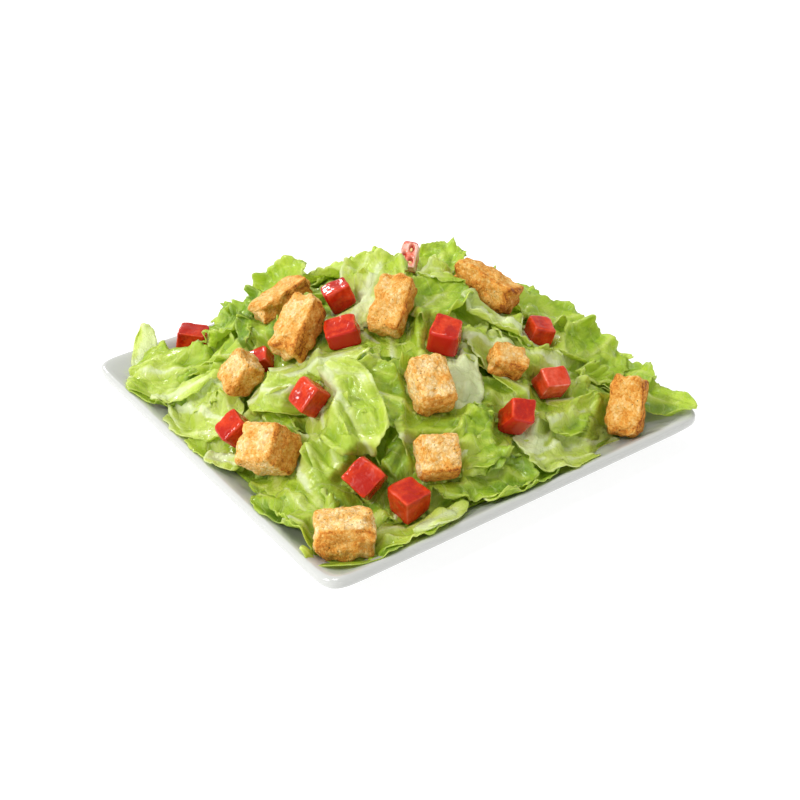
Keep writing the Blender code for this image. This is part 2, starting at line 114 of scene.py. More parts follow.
# Each leaf: kind, place on the plate, lift over the heap, heading, pitch and roll in degrees, length, width,
# and tone from dark green at 0 to pale yellow at 1
LEAVES = (
    ("rib", -68, 82, 3, 54, 55, 0, 26, 12, 0.95),
    ("draped", -68, 58, 5, -40, 5, 28, 42, 36, 0.50),
    ("frilled", -82, 50, 2, -60, 0, 12, 38, 22, 0.36),
    ("rib", -70, 36, 4, -45, 0, 0, 38, 10, 0.72),
    ("frilled", -44, 64, 3, -30, 10, 10, 30, 20, 0.42),
    ("frilled", -38, 50, 3, -30, 10, 0, 32, 24, 0.22),
    ("folded", -38, 32, 2, 54, 18, 0, 30, 24, 0.14),
    ("frilled", -34, 22, 1, -10, 8, 0, 30, 22, 0.25),
    ("curled", -50, 30, 2, -30, 0, -15, 22, 14, 0.62),
    ("frilled", -18, 50, 4, 40, 28, 0, 30, 26, 0.52),
    ("folded", 4, 42, 1, -50, 0, 0, 34, 18, 0.70),
    ("folded", -28, 28, 3, 60, 30, 0, 18, 14, 0.20),
    ("folded", -38, -9, 3, -22, 0, 0, 50, 20, 0.82),
    ("folded", -54, -8, 4, -49, 0, 0, 36, 22, 0.66),
    ("flat", -76, 22, 2, -75, 0, -10, 44, 28, 0.84),
    ("frilled", -80, 4, 1, -80, 0, -10, 30, 18, 0.55),
    ("curled", -80, -8, 2, -60, 15, 0, 22, 9, 0.85),
    ("cupped", -76, -30, 1, -60, 0, 0, 24, 16, 0.05),
    ("flat", -82, -42, 1, -80, 0, 0, 24, 14, 0.24),
    ("cupped", -42, -32, 4, -100, 0, 0, 42, 30, 0.68),
    ("folded", -52, -36, 3, -110, 0, 10, 34, 22, 0.48),
    ("draped", -65, -42, 4, -100, 0, -5, 48, 34, 0.54),
    ("frilled", -74, -52, 3, -90, 5, 0, 30, 20, 0.50),
    ("folded", -76, -62, 3, -60, 10, 0, 28, 16, 0.46),
    ("cupped", -74, -80, 1, -30, 0, 0, 34, 16, 0.30),
    ("flat", -52, -80, 1, -20, 0, -8, 36, 24, 0.56),
    ("folded", -55, -66, 4, -30, 20, 0, 26, 14, 0.36),
    ("flat", -36, -60, 2, 40, 0, 0, 34, 22, 0.38),
    ("frilled", -28, -36, 3, -60, 0, 0, 34, 24, 0.46),
    ("folded", -16, -22, 3, 60, 8, 0, 34, 16, 0.60),
    ("folded", -6, -28, 3, 50, 0, 0, 36, 18, 0.50),
    ("frilled", -4, 8, 4, 30, 15, 0, 40, 28, 0.80),
    ("frilled", 8, 19, 3, 20, 1, 0, 32, 22, 0.62),
    ("cupped", 14, -10, 3, 20, 0, -10, 38, 28, 0.42),
    ("frilled", 40, 24, 3, 30, 30, 0, 32, 22, 0.50),
    ("curled", 44, 12, 1, -10, 5, 0, 34, 18, 0.58),
    ("folded", 28, 2, 4, -30, 5, 0, 30, 18, 0.72),
    ("cupped", 70, 10, 1, 0, 20, 0, 30, 20, 0.36),
    ("folded", 35, -28, 3, -36, 0, 0, 42, 20, 0.78),
    ("rib", 45, -30, 4, 60, 30, 0, 24, 11, 0.82),
    ("cupped", 70, -14, 5, -10, 15, 0, 38, 30, 0.42),
    ("flat", 60, -34, 3, -40, 0, 0, 34, 20, 0.50),
    ("draped", 32, -40, 3, -30, 0, 0, 50, 26, 0.72),
    ("frilled", 70, -40, 6, 30, 30, 0, 36, 32, 0.50),
    ("frilled", 74, -52, 4, -50, 10, 0, 38, 24, 0.42),
    ("frilled", 60, -60, 3, -50, 5, 0, 36, 24, 0.38),
    ("flat", 84, -72, 4, -66, 0, 0, 42, 17, 0.40),
    ("slice", 20, -54, 4, -78, 0, 0, 34, 10, 0.66),
    ("folded", 40, -66, 4, 5, 5, 0, 38, 16, 0.52),
    ("frilled", 46, -62, 3, -20, 0, 0, 34, 18, 0.50),
    ("cupped", 26, -76, 3, -8, 5, -10, 46, 26, 0.78),
    ("draped", 0, -46, 1, 58, 0, 0, 34, 16, 1.06),
    ("frilled", -16, -60, 3, -30, 0, 0, 44, 28, 0.52),
    ("frilled", -6, -64, 3, 20, 10, 0, 30, 22, 0.50),
    ("frilled", -12, -74, 2, -30, 0, -10, 44, 22, 0.38),
    ("rib", -36, -82, 1, 10, 0, -10, 26, 12, 0.74),
    ("flat", 2, -84, 1, 0, 0, -10, 36, 12, 0.28),
    ("draped", 60, 62, 1, 45, 0, 0, 44, 34, 0.45),
    ("frilled", 76, 38, -1, -70, 0, 0, 40, 28, 0.36),
    ("frilled", 34, 74, -1, 20, 0, 0, 42, 28, 0.52),
    ("cupped", -4, 76, -2, -10, 0, 0, 38, 26, 0.60),
    ("flat", -34, 78, -2, 10, 0, 0, 36, 24, 0.34),
    ("folded", 38, 48, -2, -40, 0, 0, 38, 24, 0.70),
    ("flat", 76, 74, -1, -50, 0, 0, 30, 22, 0.52),
    ("draped", 14, 58, 0, 110, 0, 0, 40, 30, 0.50),
    ("cupped", -22, 62, -2, 60, 0, 0, 34, 26, 0.42),
    ("frilled", 56, 34, -1, 20, 5, 0, 36, 28, 0.46),
    ("draped", 46, 74, 0, 80, 0, 0, 36, 26, 0.66),
    ("draped", 68, 20, 0, 10, 0, 0, 34, 26, 0.50),
    ("frilled", 82, 56, -1, 80, 0, 0, 32, 22, 0.44),
    ("frilled", 84, -16, 0, -88, 0, 0, 40, 22, 0.48),
    ("flat", 84, 12, 0, -92, 0, 0, 36, 22, 0.40),
    ("frilled", 8, 84, 0, 4, 0, 0, 42, 22, 0.48),
    ("flat", -28, 84, 0, -6, 0, 0, 34, 20, 0.40),
)

# Each crouton: place on the plate, lift over the heap, heading, pitch and roll, length, width, height, how
# open its crumb is and how dark it is toasted, both from 0 to 1
CROUTONS = (
    (-25, 37, 5, 0, 0, 10, 25, 11, 9, 0.15, 0.40),
    (-34, 9, 7, 22, 10, 0, 25, 14, 12, 0.85, 0.48),
    (-5, -8, 7, 36, 30, 0, 23, 14, 12, 0.25, 0.40),
    (40, -7, 7, -75, 0, 0, 28, 14, 13, 0.50, 0.62),
    (-57, 14, 6, -20, 15, 10, 15, 13, 12, 0.90, 0.42),
    (-13, -42, 6, -109, 0, 0, 20, 15, 14, 0.90, 0.38),
    (21, -44, 5, -30, 0, 0, 14, 11, 10, 0.35, 0.45),
    (-67, -22, 8, -56, 12, 0, 19, 17, 17, 1.00, 0.45),
    (-25, -62, 6, -25, 5, 0, 16, 15, 14, 0.80, 0.42),
    (-71, -71, 5.5, -30, 0, 0, 21, 16, 14, 0.90, 0.36),
    (59, -75, 10, 40, 50, 0, 23, 14, 13, 0.40, 0.58),
)

# Each tomato die: place on the plate, lift over the heap, heading, pitch and roll, length, width, height, and
# how pale its flesh is
TOMATOES = (
    (24, 21, 7, 40, 50, 0, 12, 8, 6, 0.80),
    (-14, 12, 6, -20, 10, 0, 11, 10, 11, 0.10),
    (-24, -3, 3, -30, 0, 0, 14, 11, 9, 0.15),
    (-48, 77, 6, -40, -8, 0, 13, 11, 10, 0.10),
    (-49, 22, -3, -36, 0, 0, 11, 9, 9, 0.10),
    (-48, -19, 6, 5, 15, 0, 12, 10, 12, 0.20),
    (-70, -2, 5, -10, 0, 0, 11, 10, 11, 0.15),
    (4, -28, 6, -50, 5, 0, 13, 12, 12, 0.05),
    (51, -29, 3, -20, 10, 0, 11, 10, 10, 0.10),
    (35, -54, 4, -10, 15, 0, 12, 10, 11, 0.36),
    (11, -62, 5, -32, 0, 0, 11, 10, 14, 0.10),
    (-49, -53, 5, 10, 10, 0, 13, 13, 12, 0.05),
    (-42, -69, 6, 5, 5, 0, 13, 12, 12, 0.15),
)

# Direction that the crust side of each bread cube faces most: the side turned away from the lights, so its
# darker crust is partly painted shade
SHADED_CRUST_TOWARDS = Vector((0.1, -1.0, 0.0))

# How many times a leaf's lift is spread to the points beside it
LIFT_ROUNDS = 5

# Distance in the noise and in the patterns from one leaf to the next, and the number of the first hidden leaf
SEED_STEP = 3.7
PATTERN_STEP = 31.0
UNDER_FIRST = 500

# Seeds of the draws for a tomato die's corners and for the side with its skin
CORNER_DRAWS = 100
SKIN_DRAWS = 300

# Gel pockets in the top of the first die: place along and across it, and half length and half width
GEL_POCKETS = ((3.4, -0.9, 1.7, 1.2), (-0.4, 1.5, 1.7, 1.0), (-2.4, -1.5, 1.5, 1.1))

# Leaves of the hidden layer: kinds, and ranges of lift, heading, pitch, length, width for each mm of length,
# and tone, then the tone of the heap's body
UNDER_KINDS = ("flat", "cupped", "draped", "frilled", "flat", "folded")
UNDER_LIFT = (-3.2, -1.0)
UNDER_HEADING = (0.0, 360.0)
UNDER_PITCH = (-6.0, 8.0)
UNDER_LENGTH = (24.0, 34.0)
UNDER_WIDTH = (0.6, 0.8)
UNDER_TONE = (0.26, 0.68)
# The heap's body is toned darker green: painted shade in the gaps between the leaves
BODY_SHADE_TONE = 0.34

# Each light: its setting's name, where it comes from, and how wide it looks in degrees
LIGHTS = (
    ("key", (-0.74, 0.10, 0.67), 14.0),
    ("back", (0.02, 0.84, 0.50), 7.0),
    ("top", (-0.10, -0.02, 1.0), 16.0),
    ("side", (-0.93, 0.20, 0.26), 10.0),
)

# Camera of the photograph
IMAGE_SIZE = 800
FOCAL_PIXELS = 1400.0
SENSOR_WIDTH = 36.0
VIEW_AZIMUTH = -36.17
VIEW_ELEVATION = 32.85
VIEW_DISTANCE = 0.5618
VIEW_TARGET = (-0.00228, -0.0097, 0.0162)
VIEW_SIDE = Vector((math.sin(math.radians(VIEW_AZIMUTH)), -math.cos(math.radians(VIEW_AZIMUTH))))


class Value:
    """A number, colour or vector on a material's surface. Sums on it add Math nodes."""

    def __init__(self, finish, socket):
        self.finish = finish
        self.socket = socket

    def math(self, operation, *numbers):
        sockets = dict(enumerate(numbers))
        return self.finish.node("ShaderNodeMath", {"operation": operation}, sockets)

    def __add__(self, other):
        return self.math("ADD", self, other)

    def __radd__(self, other):
        return self.math("ADD", other, self)

    def __sub__(self, other):
        return self.math("SUBTRACT", self, other)

    def __rsub__(self, other):
        return self.math("SUBTRACT", other, self)

    def __mul__(self, other):
        return self.math("MULTIPLY", self, other)

    def __rmul__(self, other):
        return self.math("MULTIPLY", other, self)

    def __abs__(self):
        return self.math("ABSOLUTE", self)

    def wave(self, period):
        """Triangle wave that rises from 0 to half its period and falls back."""
        return self.math("PINGPONG", self, period / 2.0)

    def between(self, low, high):
        """0 below the low value and 1 above the high one, with a smooth step from one to the other."""
        settings = {"interpolation_type": "SMOOTHSTEP"}
        sockets = {"Value": self, "From Min": low, "From Max": high}
        return self.finish.node("ShaderNodeMapRange", settings, sockets)


class Finish:
    """The material of one kind of surface, built node by node."""

    def __init__(self, name):
        self.material = bpy.data.materials.new(name)
        self.material.use_nodes = True
        self.tree = self.material.node_tree
        self.tree.nodes.clear()

    def node(self, kind, settings=None, sockets=None, output=0):
        """Add a node, make its settings, then fill or link its sockets. Its output is None if it has none."""
        made = self.tree.nodes.new(kind)
        for name, value in (settings or {}).items():
            if name == "stops":
                self.set_stops(made.color_ramp, value)
            else:
                setattr(made, name, value)
        for name, value in (sockets or {}).items():
            if isinstance(value, Value):
                self.tree.links.new(value.socket, made.inputs[name])
            else:
                made.inputs[name].default_value = value
        return None if output is None else Value(self, made.outputs[output])

    def set_stops(self, ramp, stops):
        """Give a colour ramp its stops of position and colour."""
        while len(ramp.elements) > 1:
            ramp.elements.remove(ramp.elements[-1])
        for number, (position, colour) in enumerate(stops):
            stop = ramp.elements[0] if number == 0 else ramp.elements.new(position)
            stop.position = position
            stop.color = (*colour, 1.0)

    def attribute(self, name):
        return self.node("ShaderNodeAttribute", {"attribute_name": name}, output="Vector")

    def parts(self, vector):
        """The three numbers of a vector."""
        made = self.node("ShaderNodeSeparateXYZ", sockets={"Vector": vector})
        outputs = made.socket.node.outputs
        return [Value(self, outputs[axis]) for axis in range(3)]

    def object_place(self):
        """Object coordinates in millimetres."""
        place = self.node("ShaderNodeTexCoord", output="Object")
        sockets = {0: place, "Scale": 1.0 / MM}
        return self.node("ShaderNodeVectorMath", {"operation": "SCALE"}, sockets)

    def grain(self, place, scale, detail=2.0, roughness=0.5):
        """Noise from 0 to 1 with a number of waves for each millimetre."""
        sockets = {"Vector": place, "Scale": scale, "Detail": detail, "Roughness": roughness}
        return self.node("ShaderNodeTexNoise", {"normalize": True}, sockets)

    def scaled(self, place, scales):
        """A place with its three numbers each multiplied by their own scale."""
        return self.node("ShaderNodeVectorMath", {"operation": "MULTIPLY"}, {0: place, 1: scales})

    def shift(self, place, scale):
        """Small uneven offset of a place in millimetres."""
        sockets = {"Vector": place, "Scale": scale, "Detail": 1.0}
        colour = self.node("ShaderNodeTexNoise", {"normalize": False}, sockets, output="Color")
        return self.node("ShaderNodeVectorMath", {"operation": "SCALE"}, {0: colour, "Scale": 0.35})

    def cells(self, place, scale, feature="F1", output="Distance"):
        """Cells of a Voronoi pattern, with a number of them for each millimetre."""
        sockets = {"Vector": place, "Scale": scale}
        return self.node("ShaderNodeTexVoronoi", {"feature": feature}, sockets, output)

    def ramp(self, value, stops):
        return self.node("ShaderNodeValToRGB", {"stops": stops}, {"Fac": value})

    def mix(self, share, first, second):
        """Colour from the first at 0 to the second at 1."""
        colours = [(*c, 1.0) if isinstance(c, tuple) else c for c in (first, second)]
        sockets = {0: share, 6: colours[0], 7: colours[1]}
        return self.node("ShaderNodeMix", {"data_type": "RGBA"}, sockets, output=2)

    def bump(self, height, depth, strength=1.0):
        """Relief from a height of 0 to 1 that is a depth in millimetres."""
        sockets = {"Height": height, "Distance": depth * MM, "Strength": strength}
        return self.node("ShaderNodeBump", sockets=sockets)

    def principled(self, **sockets):
        """A Principled BSDF with its sockets named in lower case."""
        filled = {}
        for key, value in sockets.items():
            name = key.replace("_", " ").title().replace("Ior", "IOR")
            plain = isinstance(value, tuple) and key.endswith("color")
            filled[name] = (*value, 1.0) if plain else value
        return self.node("ShaderNodeBsdfPrincipled", sockets=filled, output="BSDF")

    def finished(self, shader):
        """Link the shader to the material's output and hand the material over."""
        self.node("ShaderNodeOutputMaterial", sockets={"Surface": shader}, output=None)
        return self.material


def leaf_finish(settings):
    """Thin wet leaf: green blade with pale side veins and rib, a pale cut rim that also carries a painted rim
    highlight, and fold crests painted paler as painted highlight; it lets light through.
    """
    finish = Finish("romaine_leaf")
    grow = finish.attribute("grow")
    along, across, _ = finish.parts(grow)
    tone, rim, rib = finish.parts(finish.attribute("traits"))
    patches = finish.grain(grow, 0.075, 2.0, 0.5)
    mottle = finish.grain(grow, 0.42, 3.0, 0.6)
    fan = along * 0.15 - abs(across) * 0.12 + (patches - 0.5) * 1.8 + (mottle - 0.5) * 0.35
    side_veins = 1.0 - fan.wave(1.0).between(0.0, 0.07)
    net = finish.cells(grow, 0.55, "DISTANCE_TO_EDGE")
    small_veins = 1.0 - net.between(0.0, 0.09)
    streaks = finish.grain(finish.scaled(grow, (0.10, 1.0, 1.0)), 0.75, 3.0, 0.6)
    # tone also carries the painted highlight on the crests of the folds
    shade = tone + (patches - 0.5) * 0.75 + (mottle - 0.5) * 0.28 + (streaks - 0.5) * 0.50
    # Paler at the rim, here and by the rim colour below: the pale cut rim and a painted rim highlight
    shade = shade + rib * 0.42 + rim * 0.12
    blade = finish.ramp(shade, (
        (0.0, (0.130, 0.270, 0.010)),
        (0.20, (0.270, 0.450, 0.018)),
        (0.42, (0.460, 0.640, 0.036)),
        (0.62, (0.630, 0.760, 0.100)),
        (0.82, (0.790, 0.880, 0.270)),
        (1.0, (0.930, 0.985, 0.640)),
    ))
    veined = finish.mix(side_veins * 0.42 + small_veins * 0.14, blade, tuple(settings.vein_colour))
    colour = finish.mix(rim * 0.30, veined, tuple(settings.rim_and_highlight_colour))
    beads = finish.grain(grow, 1.6, 3.0, 0.6)
    quilt = net.between(0.0, 0.4) * 0.30 + beads * 0.6 + streaks * 0.5 - side_veins * 0.30
    relief = finish.bump(quilt, settings.quilt_depth, 0.7)
    wet = finish.grain(grow, 0.16, 2.0)
    body = finish.principled(
        base_color=colour,
        roughness=0.40 - wet.between(0.35, 0.65) * 0.20 + mottle * 0.08,
        specular_ior_level=0.5,
        coat_weight=wet.between(0.40, 0.62) * 0.55,
        coat_roughness=0.16,
        normal=relief,
    )
    sockets = {"Color": (*settings.through_colour, 1.0), "Normal": relief}
    through = finish.node("ShaderNodeBsdfTranslucent", sockets=sockets)
    sockets = {0: settings.through_share, 1: body, 2: through}
    return finish.finished(finish.node("ShaderNodeMixShader", sockets=sockets))


def bread_finish():
    """Toasted bread: pale crumb with open pores and gaps between crumbs painted darker as painted shade,
    orange crust at the edges, and specks of dried herb.
    """
    finish = Finish("toasted_bread")
    grow = finish.attribute("grow")
    # toast carries the crust's darker toast, which on the side turned away from the lights is also painted
    # shade
    toast, pore, crumb = finish.parts(finish.attribute("traits"))
    broad = finish.grain(grow, 0.13, 3.0, 0.6)
    fine = finish.grain(grow, 0.90, 4.0, 0.75)
    warped = finish.node("ShaderNodeVectorMath", {"operation": "ADD"}, {0: grow, 1: finish.shift(grow, 1.3)})
    grains = finish.cells(warped, 1.0).between(0.25, 0.75)
    crumbs = finish.parts(finish.cells(warped, 1.0, output="Color"))[0]
    small_crumbs = finish.parts(finish.cells(warped, 2.2, output="Color"))[0]
    # grains darkens the gaps between the crumbs: painted shade
    shade = toast + (broad - 0.5) * 1.05 + (fine - 0.5) * 0.45 + grains * 0.10
    shade = shade + (crumbs - 0.5) * 0.32 + (small_crumbs - 0.5) * 0.16
    colour = finish.ramp(shade, (
        (0.0, (0.920, 0.700, 0.370)),
        (0.22, (0.850, 0.550, 0.200)),
        (0.45, (0.770, 0.400, 0.085)),
        (0.65, (0.680, 0.270, 0.034)),
        (0.85, (0.520, 0.170, 0.018)),
        (1.0, (0.270, 0.070, 0.007)),
    ))
    # Pores are painted darker by their depth: painted shade in the recesses
    pore_shaded = finish.mix(pore * 0.55, colour, (0.400, 0.140, 0.020))
    speck = 1.0 - finish.cells(grow, 0.48).between(0.09, 0.14)
    kept = finish.grain(grow, 0.31, 1.0).between(0.50, 0.53)
    herbed = finish.mix(speck * kept * 0.9, pore_shaded, (0.045, 0.035, 0.008))
    height = fine * 0.40 + (1.0 - grains) * 0.60 + crumbs * 0.45 + small_crumbs * 0.25
    body = finish.principled(
        base_color=herbed,
        roughness=0.60 + crumb * 0.2 + (fine - 0.5) * 0.25,
        specular_ior_level=0.18,
        subsurface_weight=0.12,
        subsurface_radius=(0.9, 0.45, 0.2),
        subsurface_scale=1.2 * MM,
        normal=finish.bump(height, 0.34, 1.0),
    )
    return finish.finished(body)


def tomato_finish():
    """Ripe tomato: glossy skin, wet flesh with pale fibres, and clear red gel."""
    finish = Finish("ripe_tomato")
    grow = finish.attribute("grow")
    skin, gel, pale = finish.parts(finish.attribute("traits"))
    fibre = finish.grain(grow, 0.55, 4.0, 0.6)
    blotch = finish.grain(grow, 0.12, 2.0)
    # pale holds the flesh's own paleness and the painted highlight along the cut edges
    flesh_tone = pale + (fibre - 0.5) * 0.65 + (blotch - 0.5) * 1.00
    flesh = finish.ramp(flesh_tone, (
        (0.0, (0.420, 0.012, 0.003)),
        (0.25, (0.610, 0.040, 0.006)),
        (0.55, (0.700, 0.095, 0.045)),
        (0.80, (0.800, 0.300, 0.210)),
        (1.0, (0.880, 0.540, 0.450)),
    ))
    skinned = finish.mix(skin, flesh, (0.480, 0.016, 0.008))
    colour = finish.mix(gel, skinned, (0.430, 0.022, 0.004))
    seeded = finish.mix((gel * pale).between(0.93, 0.97), colour, (0.830, 0.620, 0.260))
    height = finish.grain(grow, 0.75, 3.0) * (1.0 - skin * 0.8)
    body = finish.principled(
        base_color=seeded,
        roughness=0.18 - skin * 0.10 + (fibre - 0.5) * 0.10,
        specular_ior_level=0.12,
        subsurface_weight=0.08,
        subsurface_radius=(1.0, 0.20, 0.08),
        subsurface_scale=1.6 * MM,
        coat_weight=0.42,
        coat_roughness=0.02,
        normal=finish.bump(height, 0.60, 0.5),
    )
    return finish.finished(body)


def porcelain_finish(settings):
    """Glazed porcelain with a faintly uneven glaze, and a dry matt ring where it stands."""
    finish = Finish("glazed_porcelain")
    place = finish.object_place()
    height = finish.parts(place)[2]
    dry = 1.0 - height.between(0.15, 0.5)
    glaze = finish.grain(place, 0.035, 2.0)
    speckle = finish.grain(place, 1.4, 2.0)
    tint = finish.mix((glaze - 0.5) * 0.5 + 0.5, tuple(settings.glaze_colour), tuple(settings.pool_colour))
    colour = finish.mix(dry, tint, (0.640, 0.600, 0.530))
    body = finish.principled(
        base_color=colour,
        roughness=0.10 + dry * 0.5 + speckle * 0.05,
        specular_ior_level=0.5,
        coat_weight=(1.0 - dry) * 0.5,
        coat_roughness=0.03,
        normal=finish.bump(glaze * 0.9 + speckle * 0.02, 0.6, 0.25),
    )
    return finish.finished(body)


def floor_finish(settings):
    """Plain pale studio floor."""
    finish = Finish("studio_floor")
    body = finish.principled(
        base_color=tuple(settings.floor_colour),
        roughness=0.9,
        specular_ior_level=0.0,
        emission_color=(1.0, 1.0, 1.0),
        emission_strength=settings.floor_glow,
    )
    return finish.finished(body)


def new_piece(name, bm, finish, node):
    """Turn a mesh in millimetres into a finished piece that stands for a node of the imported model."""
    bmesh.ops.recalc_face_normals(bm, faces=bm.faces)
    bmesh.ops.scale(bm, vec=(MM, MM, MM), verts=bm.verts)
    for face in bm.faces:
        face.smooth = True
    mesh = bpy.data.meshes.new(name)
    bm.to_mesh(mesh)
    bm.free()
    mesh.materials.append(bpy.data.materials[finish])
    piece = bpy.data.objects.new(name, mesh)
    bpy.context.scene.collection.objects.link(piece)
    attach(piece, "root")
    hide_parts(node)


def food_layers(bm):
    """Vertex attributes for the food's finishes: place in the food's own millimetres, and three traits."""
    return bm.verts.layers.float_vector.new("grow"), bm.verts.layers.float_vector.new("traits")


def smooth_step(low, high, value):
    """0 at the low value and 1 at the high one, with a smooth step from one to the other."""
    share = min(max((value - low) / (high - low), 0.0), 1.0)
    return share * share * (3.0 - 2.0 * share)


def square_reach(x, y, squareness):
    """Half width of the rounded square that passes through a point."""
    return (abs(x) ** squareness + abs(y) ** squareness) ** (1.0 / squareness)


def plate_top(x, y, squareness):
    """Height of the plate's upper side."""
    share = (square_reach(x, y, squareness) - WELL_HALF) / (SLOPE_HALF - WELL_HALF)
    return WELL_HEIGHT + (SLOPE_HEIGHT - WELL_HEIGHT) * min(max(share, 0.0), 1.0) ** SLOPE_POWER


def heap_height(x, y):
    """Height of the heap's skin, highest near the middle."""
    squarish = square_reach(x, y, HEAP_SQUARENESS) / HEAP_HALF
    roundish = math.hypot(x - PEAK_X, y - PEAK_Y) / HEAP_HALF
    fall = min(SQUARE_SHARE * squarish + (1.0 - SQUARE_SHARE) * roundish, 1.0)
    return HEAP_EDGE + (HEAP_PEAK - HEAP_EDGE) * math.cos(fall * math.pi / 2.0) ** HEAP_SHOULDER


def heap_frame(x, y, lift, heading, pitch, roll):
    """Frame of a piece that lies on the heap's skin."""
    step = 2.0
    rise_x = (heap_height(x + step, y) - heap_height(x - step, y)) / (2.0 * step)
    rise_y = (heap_height(x, y + step) - heap_height(x, y - step)) / (2.0 * step)
    normal = Vector((-rise_x, -rise_y, 1.0)).normalized()
    place = Vector((x, y, heap_height(x, y))) + normal * lift
    lean = Vector((0.0, 0.0, 1.0)).rotation_difference(normal).to_matrix().to_4x4()
    turn = Matrix.Rotation(math.radians(heading), 4, "Z")
    rise = Matrix.Rotation(-math.radians(pitch), 4, "Y")
    tip = Matrix.Rotation(math.radians(roll), 4, "X")
    return Matrix.Translation(place) @ lean @ turn @ rise @ tip


def waves(u, v, scale, seed):
    """Smooth noise from -1 to 1 over a leaf, with a number of waves for each millimetre."""
    return noise.noise(Vector((u * scale, v * scale, seed)))


class HeapTop:
    """Height of the leaves laid so far, so that the next leaf lies over them and not through them."""

    # Size of a cell, half width of the map, gap between leaves and most that a leaf is lifted, in millimetres
    CELL = 0.8
    HALF = 92.0
    GAP = 0.35
    MOST_LIFT = 4.0

    def __init__(self):
        count = int(2.0 * self.HALF / self.CELL) + 1
        self.height = np.full((count, count), -100.0)

    def cell(self, point):
        last = len(self.height) - 1
        places = [int((point[axis] + self.HALF) / self.CELL) for axis in range(2)]
        return [min(max(place, 0), last) for place in places]

    def lift_needed(self, point):
        """How far a point has to rise. Past the most that a leaf is lifted, it stays below instead."""
        column, row = self.cell(point)
        need = self.height[column, row] + self.GAP - point.z
        return max(min(need, 2.0 * self.MOST_LIFT - need), 0.0)

    def lay(self, points):
        for point in points:
            column, row = self.cell(point)
            patch = self.height[max(column - 1, 0):column + 2, max(row - 1, 0):row + 2]
            np.maximum(patch, point.z, out=patch)


class Block:
    """Room that a crouton or a tomato die takes in the heap."""

    # Millimetres round the block, and the steepness of the bowl and how much flatter it is in front
    MARGIN = 0.75
    MOST_SINK = 4.5
    MOST_ASIDE = 1.3
    CLEAR_ABOVE = 7.0
    BOWL = 9.0
    BOWL_BASE = 1.8
    BOWL_SLOPE = 1.0
    BOWL_RISE = 0.10
    FRONT_EASE = 0.45

    def __init__(self, row):
        self.frame = heap_frame(*row[:6])
        self.inverse = self.frame.inverted()
        self.half = [size / 2.0 + self.MARGIN for size in row[6:9]]
        self.centre = self.frame.translation
        self.radius = math.hypot(*self.half) + max(self.BOWL, self.CLEAR_ABOVE)

    def push(self, point):
        """A point moved under the block or into the bowl round it, and whether it was deep in the block."""
        if (point - self.centre).length > self.radius:
            return point, False
        local = self.inverse @ point
        height = local.z + self.half[2]
        beside = [abs(local[axis]) - self.half[axis] for axis in range(2)]
        if height < 0.0 or height > 2.0 * self.half[2] + self.CLEAR_ABOVE:
            return point, False
        away = math.hypot(max(beside[0], 0.0), max(beside[1], 0.0))
        axis = 0 if beside[0] > beside[1] else 1
        inside = False
        if away > self.BOWL:
            return point, False
        if away > 0.0:
            front = smooth_step(0.2, 0.9, (point - self.centre).to_2d().normalized().dot(VIEW_SIDE))
            rise = self.BOWL_SLOPE * (1.0 - self.FRONT_EASE * front) * away
            rise += self.BOWL_RISE * (1.0 - front) * away ** 3
            local.z += min(self.BOWL_BASE + rise - height, 0.0)
        elif height < self.MOST_SINK:
            local.z = -self.half[2]
        elif beside[axis] > -self.MOST_ASIDE and height < 2.0 * self.half[2]:
            local[axis] = math.copysign(self.half[axis], local[axis])
            local.z = self.BOWL_BASE - self.half[2]
        else:
            inside = True
            local.z = self.BOWL_BASE - self.half[2]
        return self.frame @ local, inside


def outline_reach(kind, s, t, seed):
    """How far a leaf's outline reaches near its margin, as a share of its half size."""
    angle = math.atan2(t, s)
    turned = Vector((math.cos(angle), math.sin(angle), 0.0))
    steady = Vector((0.0, 0.0, seed))
    wave = noise.noise(turned * 1.5 + steady) + 0.35 * noise.noise(turned * 4.0 + steady)
    tear = 0.30 * noise.noise(turned * 9.0 + steady) + 0.16 * noise.noise(turned * 22.0 + steady)
    return 1.0 + 0.13 * (wave + kind["ragged"] * tear) * max(abs(s), abs(t)) ** 6


def leaf_relief(kind, u, v, s, t, seed):
    """Height in mm over a leaf's middle surface, from folds, blisters and frill, and how near a crest is."""
    warp = 5.0 * waves(u, v, 0.06, seed + 2.0)
    long_fold = math.hypot(noise.noise(Vector((u * 0.030, (v + warp) * 0.095, seed))), 0.03)
    short_fold = math.hypot(noise.noise(Vector((u * 0.085, (v + warp) * 0.22, seed + 4.0))), 0.03)
    blister = waves(u, v, 0.32, seed + 5.0)
    crinkle = waves(u, v, 0.72, seed + 6.0)
    edge = max(smooth_step(0.30, 1.0, abs(t)), 0.8 * smooth_step(0.45, 1.0, abs(s)))
    frill = 3.6 * edge * waves(u, v, 0.13, seed + 8.0)
    frill += 2.4 * edge ** 2 * waves(u, v, 0.29, seed + 9.0)
    frill += 1.1 * edge ** 3 * waves(u, v, 0.62, seed + 10.0)
    rib = math.exp(-(v / kind["rib"]) ** 2) * (0.75 - 0.25 * s)
    folds = 0.9 - 3.4 * long_fold - 1.3 * short_fold
    lumps = 2.0 * blister + 0.8 * crinkle
    height = (kind["folds"] * folds + kind["blister"] * lumps) * (1.0 - 0.6 * rib) + kind["frill"] * frill
    crest = smooth_step(0.17, 0.03, long_fold) + 0.4 * smooth_step(0.14, 0.03, short_fold)
    return height, crest


def margin_curl(kind, s, t, seed):
    """How far a leaf's margin curls up, unevenly round the leaf, in mm."""
    side = noise.noise(Vector((s * 1.4, math.copysign(3.0, t), seed + 12.0)))
    tip = noise.noise(Vector((math.copysign(3.0, s), t * 1.4, seed + 16.0)))
    curl = (0.30 + 1.7 * side) * smooth_step(0.62, 1.0, abs(t)) ** 1.5
    curl += (0.20 + 1.7 * tip) * smooth_step(0.70, 1.0, abs(s)) ** 1.5
    return kind["lip"] * curl


